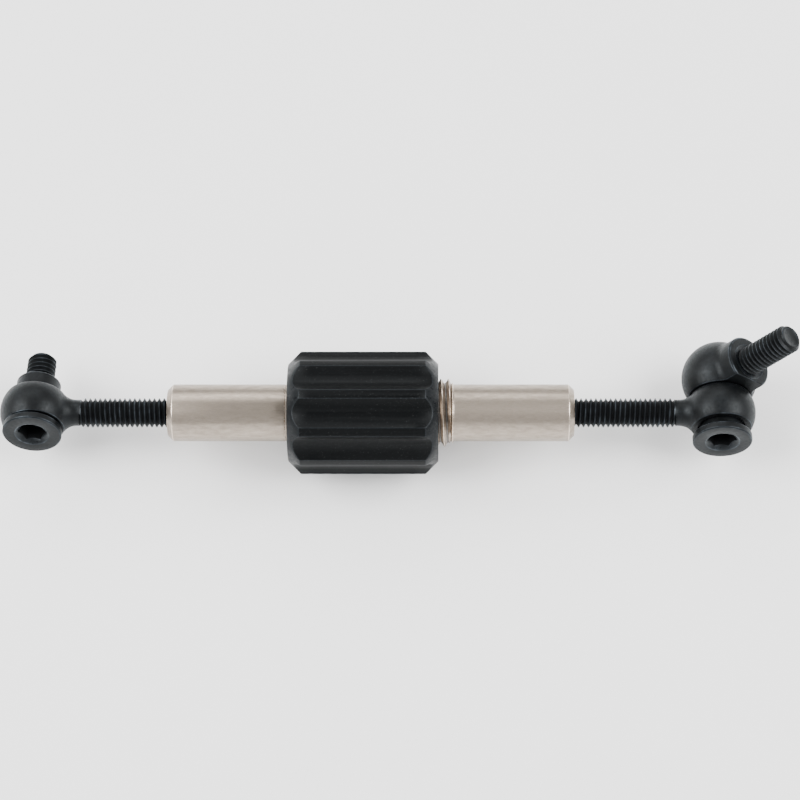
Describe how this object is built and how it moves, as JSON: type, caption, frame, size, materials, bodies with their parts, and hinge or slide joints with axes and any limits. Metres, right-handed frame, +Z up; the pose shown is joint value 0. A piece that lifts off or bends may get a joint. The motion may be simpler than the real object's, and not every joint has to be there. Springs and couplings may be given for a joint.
{
  "type": "adjustable turnbuckle link rod",
  "caption": "Straight adjustable link: a fluted black knob draws two steel sleeves together, threaded eye rods at both ends swivel on shoulder bolts, with a ball knuckle and stud on the right.",
  "frame": {"origin": "middle of the part's box on the surface it lies on", "axes": "+X along the link towards the end with the knuckle, +Z up, +Y away from the bolt heads"},
  "size_m": [0.1608, 0.0276, 0.0283],
  "materials": {
    "knob_black": "satin black anodised, turned and milled",
    "sleeve_steel": "fine turned and lightly polished stainless steel",
    "black_oxide": "black oxide on steel, satin, slightly mottled",
    "bronze": "plain turned bronze",
    "spring_steel": "blue-grey spring steel",
    "zinc_steel": "bright zinc plated steel"
  },
  "bodies": {
    "left_sleeve": {"left_sleeve": "sleeve_steel", "outer_thrust_washer": "sleeve_steel", "wave_spring": "spring_steel", "retaining_washer": "zinc_steel", "retaining_screw": "zinc_steel"},
    "knob": {"adjusting_knob": "knob_black", "knob_bush": "bronze"},
    "right_sleeve": {"right_sleeve": "sleeve_steel"},
    "left_rod": {"left_eye_rod": "black_oxide"},
    "left_bolt": {"left_shoulder_bolt": "black_oxide"},
    "right_rod": {"right_eye_rod": "black_oxide"},
    "knuckle": {"right_shoulder_bolt": "black_oxide", "knuckle_stud": "black_oxide"}
  },
  "joints": [
    {"name": "knob_turn", "type": "hinge", "parent": "left_sleeve", "child": "knob", "pos_m": [-0.00677, -0.00164, 0.0124], "axis": [1, 0, 0], "range_deg": [-1440, 720]},
    {"name": "right_sleeve_travel", "type": "slide", "parent": "left_sleeve", "child": "right_sleeve", "axis": [1, 0, 0], "range_m": [-0.003, 0.006]},
    {"name": "left_rod_travel", "type": "slide", "parent": "left_sleeve", "child": "left_rod", "axis": [-1, 0, 0], "range_m": [-0.006, 0.006]},
    {"name": "right_rod_travel", "type": "slide", "parent": "right_sleeve", "child": "right_rod", "axis": [1, 0, 0], "range_m": [-0.006, 0.006]},
    {"name": "left_bolt_swivel", "type": "hinge", "parent": "left_rod", "child": "left_bolt", "pos_m": [-0.07345, -0.00164, 0.0124], "axis": [0.0419, 0.9599, -0.2771], "continuous": true},
    {"name": "knuckle_swivel", "type": "hinge", "parent": "right_rod", "child": "knuckle", "pos_m": [0.06555, -0.00164, 0.0124], "axis": [0, 0.9823, -0.1874], "continuous": true}
  ],
  "couplings": [
    {"joint": "right_sleeve_travel", "follows": "knob_turn", "m_per_rad": -0.00023873}
  ]
}
